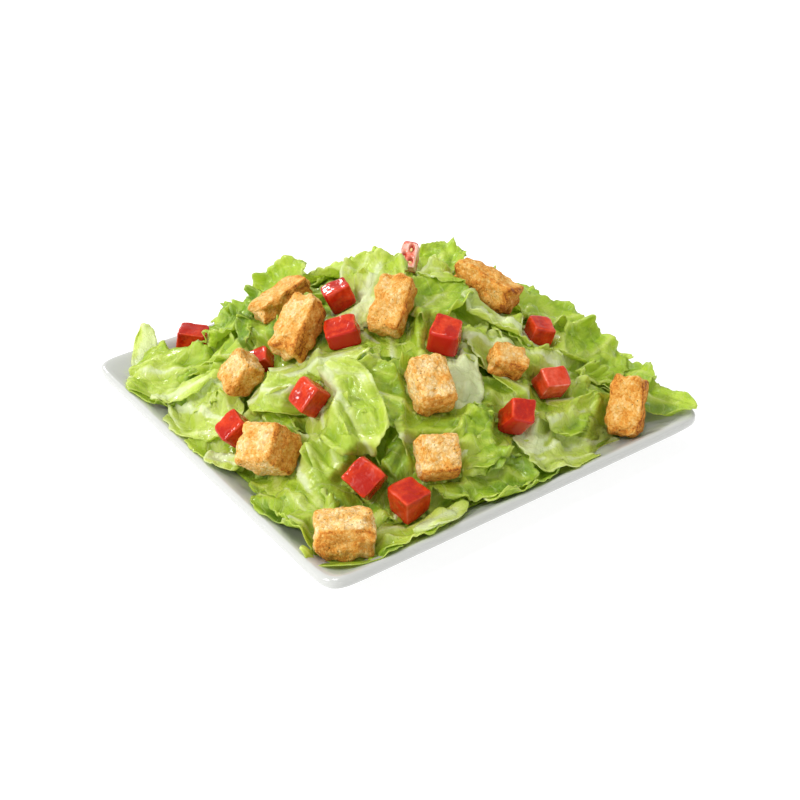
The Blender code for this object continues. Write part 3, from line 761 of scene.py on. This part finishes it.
def leaf_place(kind, length, width, s, t, seed):
    """Point of a leaf's middle surface, with s along it and t across it from -1 to 1, and its crest."""
    reach = outline_reach(kind, s, t, seed)
    along = reach * s * math.sqrt(1.0 - kind["round"] * t * t / 2.0)
    across = reach * t * math.sqrt(1.0 - kind["round"] * s * s / 2.0) * (1.0 - kind["taper"] * s)
    bend = math.radians(kind["curl"]) / 2.0
    fold = math.radians(kind["cup"]) / 2.0
    turn = math.radians(kind["twist"]) / 2.0 * along
    lean = bend * along
    spine = Vector((math.sin(lean) / bend, 0.0, (1.0 - math.cos(lean)) / bend)) * (length / 2.0)
    up = Vector((-math.sin(lean), 0.0, math.cos(lean)))
    side = Vector((0.0, 1.0, 0.0))
    side_turned = side * math.cos(turn) + up * math.sin(turn)
    up_turned = up * math.cos(turn) - side * math.sin(turn)
    out = width / 2.0 * math.sin(fold * across) / fold
    rise = width / 2.0 * (1.0 - math.cos(fold * across)) / fold
    relief, crest = leaf_relief(kind, s * length / 2.0, t * width / 2.0, s, t, seed)
    height = rise + margin_curl(kind, s, t, seed) + relief
    return spine + side_turned * out + up_turned * height, crest


def add_leaf(bm, layers, index, row, settings, heap_top, blocks, squareness):
    """Add one thin leaf to a mesh, laid over the leaves before it and round the croutons and tomato."""
    kind_name, x, y, lift, heading, pitch, roll, length, width, tone = row
    kind = dict(zip(KIND_TRAITS, LEAF_KINDS[kind_name]))
    grow, traits = layers
    turned = heap_frame(x, y, lift, heading, pitch, roll)
    seed = index * SEED_STEP + 1.3
    cell = settings.cell if index < len(LEAVES) else settings.under_cell
    segments = [max(int(size / cell), 5) for size in (length, width)]
    sheet = bmesh.ops.create_grid(bm, x_segments=segments[0], y_segments=segments[1], size=1.0)["verts"]
    for vert in sheet:
        s, t, _ = vert.co
        # rim marks the outer band, painted paler both as the cut rim and as a painted rim highlight
        rim = smooth_step(0.90, 1.0, max(abs(s), abs(t)))
        rib = math.exp(-(t * width / 2.0 / kind["rib"]) ** 2) * (0.8 - 0.35 * s)
        place, crest = leaf_place(kind, length, width, s, t, seed)
        vert[grow] = (s * length / 2.0, t * width / 2.0, index * PATTERN_STEP)
        # The crests of the folds are painted paler: painted highlight
        vert[traits] = (tone - 0.14 * s - 0.05 * abs(t) + settings.crest_highlight * (crest - 0.4), rim, rib)
        vert.co = turned @ place
    keep_on_plate(sheet, settings, squareness)
    lay_over(sheet, heap_top)
    deep = press_round(sheet, blocks)
    heap_top.lay([vert.co for vert in sheet if vert not in deep])
    edges = {edge for vert in sheet for edge in vert.link_edges}
    faces = {face for vert in sheet for face in vert.link_faces}
    torn = {face for edge in edges if edge.calc_length() > settings.tear_length for face in edge.link_faces}
    shown = largest_sheet({face for face in faces - torn if not deep.issuperset(face.verts)})
    bmesh.ops.delete(bm, geom=list(faces - shown), context="FACES")
    thicken(bm, layers, shown, kind, settings)


def largest_sheet(faces):
    """The largest group of faces that hang together."""
    left = set(faces)
    largest = []
    while left:
        group = [left.pop()]
        for face in group:
            for edge in face.edges:
                joined = left.intersection(edge.link_faces)
                left -= joined
                group.extend(joined)
        largest = max(largest, group, key=len)
    return set(largest)


def keep_on_plate(sheet, settings, squareness):
    """Shift a leaf inside the plate's outline and raise what would touch the plate."""
    reach = PLATE_BOX[1].x / MM - settings.rim_inset
    ease = settings.plate_ease
    for axis in range(2):
        over = max(max(vert.co[axis] for vert in sheet) - reach, 0.0)
        under = min(min(vert.co[axis] for vert in sheet) + reach, 0.0)
        for vert in sheet:
            vert.co[axis] -= over + under
    for vert in sheet:
        floor = plate_top(vert.co.x, vert.co.y, squareness) + settings.plate_gap
        low = vert.co.z - floor
        vert.co.z = floor + (low if low > ease else ease * math.exp((low - ease) / ease))


def lay_over(sheet, heap_top):
    """Raise a leaf smoothly where it would run through the leaves below it."""
    need = {vert: heap_top.lift_needed(vert.co) for vert in sheet}
    lift = dict(need)
    for _ in range(LIFT_ROUNDS):
        spread = {}
        for vert in sheet:
            near = [lift[edge.other_vert(vert)] for edge in vert.link_edges]
            spread[vert] = max(need[vert], sum(near) / len(near))
        lift = spread
    for vert in sheet:
        vert.co.z += lift[vert]


def press_round(sheet, blocks):
    """Press a leaf out of the room of the croutons and tomato, and name the points that were deep inside."""
    centre = sum((vert.co for vert in sheet), Vector()) / len(sheet)
    radius = max((vert.co - centre).length for vert in sheet)
    near = [block for block in blocks if (block.centre - centre).length < block.radius + radius]
    deep = set()
    for block in near:
        for vert in sheet:
            if vert in deep:
                continue
            vert.co, inside = block.push(vert.co)
            if inside:
                deep.add(vert)
    return deep


def thicken(bm, layers, faces, kind, settings):
    """Give a leaf its thickness: thin in the blade and thick along the midrib."""
    bm.normal_update()
    traits = layers[1]
    skin = {vert: vert.normal.copy() for face in faces for vert in face.verts}
    depth = {}
    for vert, normal in skin.items():
        rib = settings.rib_thickness * kind["rib"] * vert[traits].z
        depth[tuple(vert.co)] = normal * (settings.thickness + rib)
    raised = bmesh.ops.extrude_face_region(bm, geom=list(faces), use_keep_orig=True)["geom"]
    for vert in raised:
        if isinstance(vert, bmesh.types.BMVert):
            vert.co += depth[tuple(vert.co)]


def make_porcelain(settings):
    """Square plate drawn out ring by ring from the well over the lip to the foot."""
    half = PLATE_BOX[1].x / MM
    lip = settings.lip_radius
    first = WELL_HALF - WELL_FLAT
    rows = []
    for step in range(settings.slope_rings + 1):
        place = first + (half - lip - first) * step / settings.slope_rings
        rows.append((place, plate_top(place, 0.0, settings.squareness)))
    low = settings.lip_depth - 2.0 * lip
    for step in range(LIP_STEPS + 1):
        angle = math.radians(90.0 - 180.0 / LIP_STEPS * step)
        drop = low if step >= LIP_STEPS / 2 else 0.0
        rows.append((half - lip + lip * math.cos(angle), SLOPE_HEIGHT - lip - drop + lip * math.sin(angle)))
    under = WELL_HEIGHT - WELL_THICKNESS
    edge, height = rows[-1]
    for step in range(1, settings.slope_rings + 1):
        share = 1.0 - step / settings.slope_rings
        rows.append((WELL_HALF + (edge - WELL_HALF) * share, under + (height - under) * share ** SLOPE_POWER))
    rows.extend(FOOT_ROWS)
    bm = bmesh.new()
    ring = bmesh.ops.create_circle(bm, cap_ends=False, radius=1.0, segments=settings.round_points)["verts"]
    power = 2.0 / settings.squareness
    outline = []
    for vert in ring:
        angle = math.atan2(vert.co.y, vert.co.x)
        across = math.copysign(abs(math.cos(angle)) ** power, math.cos(angle))
        along = math.copysign(abs(math.sin(angle)) ** power, math.sin(angle))
        outline.append((across, along))
    edges = list({edge for vert in ring for edge in vert.link_edges})
    first_edges = edges
    for number, (place, height) in enumerate(rows):
        if number > 0:
            grown = bmesh.ops.extrude_edge_only(bm, edges=edges)["geom"]
            edges = [item for item in grown if isinstance(item, bmesh.types.BMEdge)]
            ring = order_like(ring, grown)
        for vert, (across, along) in zip(ring, outline):
            vert.co = (across * place, along * place, height)
    bmesh.ops.edgeloop_fill(bm, edges=first_edges)
    bmesh.ops.edgeloop_fill(bm, edges=edges)
    new_piece("plate_glazed", bm, "glazed_porcelain", "plate")


def order_like(ring, grown):
    """The new ring's points in the order of the ring that they were drawn from, where they still lie."""
    fresh = {tuple(item.co): item for item in grown if isinstance(item, bmesh.types.BMVert)}
    return [fresh[tuple(vert.co)] for vert in ring]


def make_heap_body(settings, squareness):
    """Dark crumpled body of the heap, seen only in the gaps between the leaves; its dark tone is painted
    shade.
    """
    bm = bmesh.new()
    grow, traits = food_layers(bm)
    count = settings.body_cells
    bmesh.ops.create_grid(bm, x_segments=count, y_segments=count, size=1.0)
    top = bmesh.ops.extrude_face_region(bm, geom=bm.faces[:], use_keep_orig=True)["geom"]
    raised = {vert for vert in top if isinstance(vert, bmesh.types.BMVert)}
    half = HEAP_HALF - settings.body_inset
    for vert in bm.verts:
        x = half * vert.co.x * math.sqrt(1.0 - vert.co.y ** 2 * 0.16)
        y = half * vert.co.y * math.sqrt(1.0 - vert.co.x ** 2 * 0.16)
        floor = plate_top(x, y, squareness) + settings.plate_gap
        crumple = 2.4 * noise.noise(Vector((x, y, 0.0)) * 0.09)
        crumple += 1.4 * noise.noise(Vector((x, y, 7.0)) * 0.25)
        skin = heap_height(x, y) - settings.body_drop + crumple
        vert.co = (x, y, max(skin, floor + 1.0) if vert in raised else floor)
        vert[grow] = vert.co
        # The body's darker tone is painted shade
        vert[traits] = (BODY_SHADE_TONE, 0.0, 0.0)
    new_piece("heap_body", bm, "romaine_leaf", "lettuce")


def under_rows(settings):
    """Leaves of the layer under those that show, spread evenly over the heap."""
    chance = random.Random(settings.seed)
    rows = []
    step = settings.under_step
    count = int(HEAP_HALF / step)
    for column in range(-count, count + 1):
        for line in range(-count, count + 1):
            x = column * step + chance.uniform(-0.3, 0.3) * step
            y = line * step + chance.uniform(-0.3, 0.3) * step
            kind = chance.choice(UNDER_KINDS)
            lift = chance.uniform(*UNDER_LIFT)
            heading = chance.uniform(*UNDER_HEADING)
            pitch = chance.uniform(*UNDER_PITCH)
            length = chance.uniform(*UNDER_LENGTH)
            width = length * chance.uniform(*UNDER_WIDTH)
            tone = chance.uniform(*UNDER_TONE)
            if square_reach(x, y, HEAP_SQUARENESS) < HEAP_HALF - 2.0:
                rows.append((kind, x, y, lift, heading, pitch, 0.0, length, width, tone))
    return rows


def make_leaves(settings, squareness):
    """All the leaves, laid from the lowest to the highest, as one piece for each kind."""
    blocks = [Block(row) for row in (*CROUTONS, *TOMATOES)]
    heap_top = HeapTop()
    under = [("under", index + UNDER_FIRST, row) for index, row in enumerate(under_rows(settings))]
    shown = [(row[0], index, row) for index, row in enumerate(LEAVES)]
    shown.sort(key=lambda entry: entry[2][3])
    meshes = {}
    for group, index, row in under + shown:
        if group not in meshes:
            bm = bmesh.new()
            meshes[group] = (bm, food_layers(bm))
        bm, layers = meshes[group]
        add_leaf(bm, layers, index, row, settings, heap_top, blocks, squareness)
    for group, (bm, _) in meshes.items():
        new_piece(f"leaves_{group}", bm, "romaine_leaf", "lettuce")


def block_points(bm, settings):
    """Points of a fine cube, each with its place on the cube and on the cube with its edges rounded."""
    bmesh.ops.create_cube(bm, size=2.0)
    bmesh.ops.subdivide_edges(bm, edges=bm.edges[:], cuts=settings.cuts, use_grid_fill=True)
    power = settings.squareness
    for vert in bm.verts:
        cube = vert.co.copy()
        yield vert, cube, cube / sum(abs(value) ** power for value in cube) ** (1.0 / power)


def make_crouton(index, row, settings):
    """One bread cube: a blunt block with crags, open pores in its crumb and browned edges."""
    size = Vector(row[6:9]) / 2.0
    openness, toast = row[9:11]
    offset = Vector((index * 7.3, index * 3.1, 0.0))
    turned = heap_frame(*row[:6])
    sides = [Vector(side) for side in ((1, 0, 0), (-1, 0, 0), (0, 1, 0), (0, -1, 0))]
    shaded_crust_side = max(sides, key=lambda side: (turned.to_3x3() @ side).dot(SHADED_CRUST_TOWARDS))
    bm = bmesh.new()
    grow, traits = food_layers(bm)
    power = settings.squareness - 1.0
    for vert, cube, corner in block_points(bm, settings):
        place = Vector(a * b for a, b in zip(corner, size))
        steep = Vector(math.copysign(abs(a) ** power, a) / b for a, b in zip(corner, size)).normalized()
        edge = smooth_step(0.70, 1.0, sorted(abs(value) for value in cube)[1])
        crag = settings.crag * noise.noise(place * 0.25 + offset)
        lump = noise.noise(place * 0.50 + offset * 2.0)
        crust = smooth_step(0.80, 1.0, cube.dot(shaded_crust_side))
        open_part = noise.noise(place * 0.12 + offset * 3.0) + 0.5 * openness - 0.1
        crumb = openness * smooth_step(-0.25, 0.25, open_part)
        crumb *= 1.0 - 0.75 * crust
        pore = smooth_step(0.40, 0.10, noise.voronoi(place * 0.55 + offset)[0][0])
        small = smooth_step(0.46, 0.10, noise.voronoi(place * 1.05 + offset)[0][0])
        depth = (0.08 + crumb) * (0.55 * pore + 0.30 * small)
        grains = 0.24 * noise.noise(place * 1.1 + offset) + 0.18 * noise.noise(place * 2.0 + offset)
        grit = (0.55 + 0.45 * crumb) * grains
        # The crust side is darker: its own crust, and painted shade on the side turned away from the lights
        brown = toast * 0.85 + settings.edge_toast * edge + settings.crust_and_shade_toast * crust
        vert[grow] = place + offset * 10.0
        # The depth of the pores goes to the finish, which paints them darker as painted shade
        vert[traits] = (brown - 0.18 * crumb + 0.16 * lump, min(depth, 1.0), crumb)
        vert.co = place * (1.0 + crag / min(size)) + steep * (0.14 * lump + grit - depth - 0.10)
    bmesh.ops.transform(bm, matrix=turned, verts=bm.verts)
    new_piece(f"bread_cube_{index + 1:02d}", bm, "toasted_bread", f"crouton_{index + 1:02d}")


def uneven_corners(index, size):
    """Where the eight uneven corners of a tomato die are, by their signs."""
    chance = random.Random(CORNER_DRAWS + index)
    bm = bmesh.new()
    bmesh.ops.create_cube(bm, size=1.0)
    corners = {}
    for vert in bm.verts:
        shares = [1.5 * chance.uniform(0.86, 1.0) - 0.5 for axis in range(3)]
        signs = tuple(1 if value > 0.0 else -1 for value in vert.co)
        corners[signs] = Vector(value * share * side for value, share, side in zip(vert.co, shares, size))
    bm.free()
    return corners


def make_tomato(index, row, settings):
    """One die of tomato: skin on one side, wet flesh on the others with its cut edges painted paler as
    painted highlight, and gel pockets in the first.
    """
    size = row[6:9]
    pale = row[9]
    corners = uneven_corners(index, size)
    chance = random.Random(SKIN_DRAWS + index)
    skin_side = Vector(chance.choice(((1, 0, 0), (0, 1, 0), (0, 0, -1), (-1, 0, 0), (0, -1, 0))))
    if index == 0:
        skin_side = Vector((1, 0, 0))
    bm = bmesh.new()
    grow, traits = food_layers(bm)
    offset = Vector((index * 5.1, index * 2.3, 40.0))
    for vert, cube, corner in block_points(bm, settings):
        place = Vector()
        for signs, spot in corners.items():
            share = math.prod((1.0 + sign * value) / 2.0 for sign, value in zip(signs, corner))
            place += spot * share
        facing = cube.dot(skin_side)
        edge = smooth_step(0.84, 1.0, sorted(abs(value) for value in cube)[1])
        inner = 1.0
        for axis in range(2):
            if skin_side[axis] == 0.0:
                inner *= 1.0 - min(abs(cube[axis]), 1.0) ** 4
        skin = smooth_step(0.93, 1.0, facing)
        swell = settings.skin_swell * inner * smooth_step(0.8, 1.0, facing)
        dent = 0.55 * noise.noise(place * 0.22 + offset) + 0.14 * noise.noise(place * 0.8 + offset)
        gel = 0.0
        if index == 0 and cube.z > 0.98:
            for along, across, half_along, half_across in GEL_POCKETS:
                away = math.hypot((place.x - along) / half_along, (place.y - across) / half_across)
                gel = max(gel, 1.0 - smooth_step(0.75, 1.05, away))
        vert[grow] = place + offset * 10.0
        # The cut edges are painted paler: painted highlight
        vert[traits] = (skin, gel, pale + settings.edge_highlight * edge)
        vert.co = place + skin_side * swell + place.normalized() * dent * (1.0 - skin)
        vert.co.z -= 0.9 * gel
    if index == 0:
        add_seeds(bm, grow, traits, size)
    bmesh.ops.transform(bm, matrix=heap_frame(*row[:6]), verts=bm.verts)
    new_piece(f"tomato_dice_{index + 1:02d}", bm, "ripe_tomato", f"tomato_{index + 1:02d}")


def add_seeds(bm, grow, traits, size):
    """Flat pale seeds in the gel pockets of the first die."""
    for number, (along, across, half_along, half_across) in enumerate(GEL_POCKETS):
        seed = bmesh.ops.create_icosphere(bm, subdivisions=2, radius=1.0)["verts"]
        turn = Matrix.Rotation(math.radians(35.0 * number), 4, "Z")
        shape = Matrix.Diagonal((0.95, 0.6, 0.35, 1.0))
        spot = (along - 0.3 * half_along, across + 0.2 * half_across, size[2] / 2.0 - 1.0)
        bmesh.ops.transform(bm, matrix=Matrix.Translation(spot) @ turn @ shape, verts=seed)
        for vert in seed:
            vert[grow] = vert.co
            vert[traits] = (0.0, 1.0, 1.0)


class SaladPlateSettings(bpy.types.PropertyGroup):
    squareness: FloatProperty(name="Squareness", description="Power of the rounded square", default=25.0)
    lip_radius: FloatProperty(name="Lip radius", description="Radius of the lip's edge in mm", default=1.6)
    lip_depth: FloatProperty(name="Lip depth", description="Height of the lip's face in mm", default=4.6)
    slope_rings: IntProperty(name="Slope rings", description="Rings drawn along the slope", default=18)
    round_points: IntProperty(name="Points round", description="Points in each ring", default=192)
    glaze_colour: FloatVectorProperty(
        name="Glaze", description="Colour of the glaze", subtype="COLOR", default=(0.540, 0.545, 0.519))
    pool_colour: FloatVectorProperty(
        name="Pooled glaze", description="Colour where the glaze is thick", subtype="COLOR",
        default=(0.520, 0.530, 0.500))


class SaladLeafSettings(bpy.types.PropertyGroup):
    cell: FloatProperty(name="Cell", description="Size of a leaf's cells in mm", default=0.9)
    under_cell: FloatProperty(name="Under cell", description="Cells of the under layer in mm", default=1.4)
    # Painted highlight: how much paler the crests of the folds are
    crest_highlight: FloatProperty(name="Crest tone", description="How much paler the crests are", default=0.22)
    tear_length: FloatProperty(name="Tear", description="Length in mm at which a cell tears", default=4.5)
    thickness: FloatProperty(name="Thickness", description="Thickness of the blade in mm", default=0.34)
    rib_thickness: FloatProperty(name="Rib thickness", description="For each mm of its width", default=0.45)
    rim_inset: FloatProperty(name="Inset", description="Distance from the plate's edge in mm", default=1.2)
    plate_gap: FloatProperty(name="Plate gap", description="Gap between leaves and plate in mm", default=0.5)
    plate_ease: FloatProperty(name="Plate ease", description="Height in mm where leaves ease up", default=2.0)
    body_cells: IntProperty(name="Body cells", description="Cells along the heap's body", default=60)
    body_drop: FloatProperty(name="Body drop", description="Depth under the heap's skin in mm", default=6.0)
    body_inset: FloatProperty(name="Body inset", description="Inset from the heap's edge in mm", default=6.0)
    under_step: FloatProperty(name="Under step", description="Distance of its leaves in mm", default=17.0)
    seed: IntProperty(name="Seed", description="Seed of the under layer's random draws", default=5)
    quilt_depth: FloatProperty(name="Quilt depth", description="Relief between the veins in mm", default=0.55)
    through_share: FloatProperty(
        name="Light through", description="Share of the light that passes", subtype="FACTOR", default=0.45)
    vein_colour: FloatVectorProperty(
        name="Veins", description="Colour of the veins", subtype="COLOR", default=(0.760, 0.830, 0.360))
    # Colour of the cut rim, which also serves as a painted rim highlight
    rim_and_highlight_colour: FloatVectorProperty(
        name="Rim", description="Colour of the cut rim", subtype="COLOR", default=(0.740, 0.820, 0.300))
    through_colour: FloatVectorProperty(
        name="Light through colour", description="Colour of the light that passes", subtype="COLOR",
        default=(0.830, 0.930, 0.230))


class SaladCroutonSettings(bpy.types.PropertyGroup):
    cuts: IntProperty(name="Cuts", description="Cuts along each edge of the block", default=42)
    edge_toast: FloatProperty(name="Edge toast", description="How much darker the edges are", default=0.16)
    # Darkens the crust side: real crust, and painted shade on the side turned away from the lights
    crust_and_shade_toast: FloatProperty(name="Crust toast", description="How much darker the crust is", default=0.20)
    squareness: FloatProperty(name="Squareness", description="How sharp the corners are", default=6.0)
    crag: FloatProperty(name="Crag", description="Height of the crags in mm", default=0.9)


class SaladTomatoSettings(bpy.types.PropertyGroup):
    cuts: IntProperty(name="Cuts", description="Cuts along each edge of the die", default=20)
    squareness: FloatProperty(name="Squareness", description="How sharp the edges are", default=11.0)
    # Painted highlight: how much paler the cut edges are
    edge_highlight: FloatProperty(name="Pale edges", description="How much paler the cut edges are", default=0.26)
    skin_swell: FloatProperty(name="Skin swell", description="Height of the skin's curve in mm", default=0.8)


class SaladStageSettings(bpy.types.PropertyGroup):
    floor_half: FloatProperty(
        name="Floor half width", description="Half width of the floor", unit="LENGTH", default=6.0)
    floor_rise: FloatProperty(
        name="Floor rise", description="Height of the floor's outer edge", unit="LENGTH", default=0.4)
    floor_cells: IntProperty(name="Floor cells", description="Cells along the floor", default=30)
    floor_colour: FloatVectorProperty(
        name="Floor", description="Colour of the floor", subtype="COLOR", default=(0.45, 0.45, 0.45))
    floor_glow: FloatProperty(name="Floor glow", description="Light that the floor gives", default=0.72)
    sky: FloatProperty(name="Sky", description="Strength of the light from all round", default=0.62)
    key: FloatProperty(name="Key light", description="Strength of the key light", default=1.7)
    back: FloatProperty(name="Back light", description="Strength of the light from behind", default=1.0)
    top: FloatProperty(name="Top light", description="Strength of the overhead light", default=0.8)
    side: FloatProperty(name="Side light", description="Strength of the low light from the left", default=0.4)


class SALAD_OT_stage(bpy.types.Operator):
    """Add the floor, the studio light and the camera"""

    bl_idname = "salad.stage"
    bl_label = "Stage"

    def execute(self, context):
        settings = context.scene.salad_stage
        bm = bmesh.new()
        cells = settings.floor_cells
        bmesh.ops.create_grid(bm, x_segments=cells, y_segments=cells, size=settings.floor_half)
        for vert in bm.verts:
            reach = max(abs(vert.co.x), abs(vert.co.y)) / settings.floor_half
            vert.co.z = settings.floor_rise * smooth_step(0.4, 1.0, reach)
        for face in bm.faces:
            face.smooth = True
        mesh = bpy.data.meshes.new("studio_floor")
        bm.to_mesh(mesh)
        bm.free()
        mesh.materials.append(floor_finish(settings))
        floor = bpy.data.objects.new("studio_floor", mesh)
        context.scene.collection.objects.link(floor)
        world = bpy.data.worlds.new("studio")
        world.use_nodes = True
        sky = world.node_tree.nodes["Background"]
        sky.inputs["Color"].default_value = (1.0, 1.0, 1.0, 1.0)
        sky.inputs["Strength"].default_value = settings.sky
        context.scene.world = world
        for name, towards, spread in LIGHTS:
            self.add_sun(context, f"{name}_light", getattr(settings, name), towards, spread)
        self.add_camera(context)
        context.scene.view_settings.view_transform = "Standard"
        return {"FINISHED"}

    def add_sun(self, context, name, strength, towards, spread):
        """Add a distant soft light that comes from a direction."""
        light = bpy.data.lights.new(name, "SUN")
        light.energy = strength
        light.angle = math.radians(spread)
        sun = bpy.data.objects.new(name, light)
        sun.rotation_euler = Vector(towards).to_track_quat("Z", "Y").to_euler()
        context.scene.collection.objects.link(sun)

    def add_camera(self, context):
        """Add the camera at the photograph's viewing angle."""
        azimuth = math.radians(VIEW_AZIMUTH)
        elevation = math.radians(VIEW_ELEVATION)
        flat = math.cos(elevation)
        back = Vector((math.sin(azimuth) * flat, -math.cos(azimuth) * flat, math.sin(elevation)))
        lens = bpy.data.cameras.new("camera")
        lens.sensor_width = SENSOR_WIDTH
        lens.lens = FOCAL_PIXELS * SENSOR_WIDTH / IMAGE_SIZE
        lens.clip_start = 0.01
        camera = bpy.data.objects.new("camera", lens)
        camera.location = Vector(VIEW_TARGET) + back * VIEW_DISTANCE
        camera.rotation_euler = back.to_track_quat("Z", "Y").to_euler()
        context.scene.collection.objects.link(camera)
        context.scene.camera = camera


class SALAD_OT_plate(bpy.types.Operator):
    """Model the square porcelain plate"""

    bl_idname = "salad.plate"
    bl_label = "Plate"

    def execute(self, context):
        settings = context.scene.salad_plate
        porcelain_finish(settings)
        make_porcelain(settings)
        return {"FINISHED"}


class SALAD_OT_leaves(bpy.types.Operator):
    """Model the heap's body and lay the romaine leaves over it"""

    bl_idname = "salad.leaves"
    bl_label = "Leaves"

    def execute(self, context):
        settings = context.scene.salad_leaves
        squareness = context.scene.salad_plate.squareness
        leaf_finish(settings)
        make_heap_body(settings, squareness)
        make_leaves(settings, squareness)
        return {"FINISHED"}


class SALAD_OT_croutons(bpy.types.Operator):
    """Model the croutons"""

    bl_idname = "salad.croutons"
    bl_label = "Croutons"

    def execute(self, context):
        bread_finish()
        for index, row in enumerate(CROUTONS):
            make_crouton(index, row, context.scene.salad_croutons)
        return {"FINISHED"}


class SALAD_OT_tomatoes(bpy.types.Operator):
    """Model the diced tomato"""

    bl_idname = "salad.tomatoes"
    bl_label = "Tomatoes"

    def execute(self, context):
        tomato_finish()
        for index, row in enumerate(TOMATOES):
            make_tomato(index, row, context.scene.salad_tomatoes)
        return {"FINISHED"}


STEPS = (
    ("salad.stage", "salad_stage", SaladStageSettings),
    ("salad.plate", "salad_plate", SaladPlateSettings),
    ("salad.leaves", "salad_leaves", SaladLeafSettings),
    ("salad.croutons", "salad_croutons", SaladCroutonSettings),
    ("salad.tomatoes", "salad_tomatoes", SaladTomatoSettings),
)


class SALAD_PT_panel(bpy.types.Panel):
    """Sizes and colours of the salad, and the steps that make it"""

    bl_idname = "SALAD_PT_panel"
    bl_label = "Caesar Salad"
    bl_space_type = "VIEW_3D"
    bl_region_type = "UI"
    bl_category = "Salad"

    def draw(self, context):
        for operator, group, settings in STEPS:
            box = self.layout.box()
            box.operator(operator)
            for name in settings.__annotations__:
                box.prop(getattr(context.scene, group), name)


CLASSES = (
    SALAD_OT_stage,
    SALAD_OT_plate,
    SALAD_OT_leaves,
    SALAD_OT_croutons,
    SALAD_OT_tomatoes,
    SALAD_PT_panel,
)


def register():
    for _, group, settings in STEPS:
        bpy.utils.register_class(settings)
        setattr(bpy.types.Scene, group, PointerProperty(type=settings))
    for item in CLASSES:
        bpy.utils.register_class(item)


def unregister():
    for item in reversed(CLASSES):
        bpy.utils.unregister_class(item)
    for _, group, settings in reversed(STEPS):
        delattr(bpy.types.Scene, group)
        bpy.utils.unregister_class(settings)


def main():
    """Make every piece in order."""
    register()
    bpy.ops.salad.stage()
    bpy.ops.salad.plate()
    bpy.ops.salad.leaves()
    bpy.ops.salad.croutons()
    bpy.ops.salad.tomatoes()


if __name__ == "__main__":
    main()
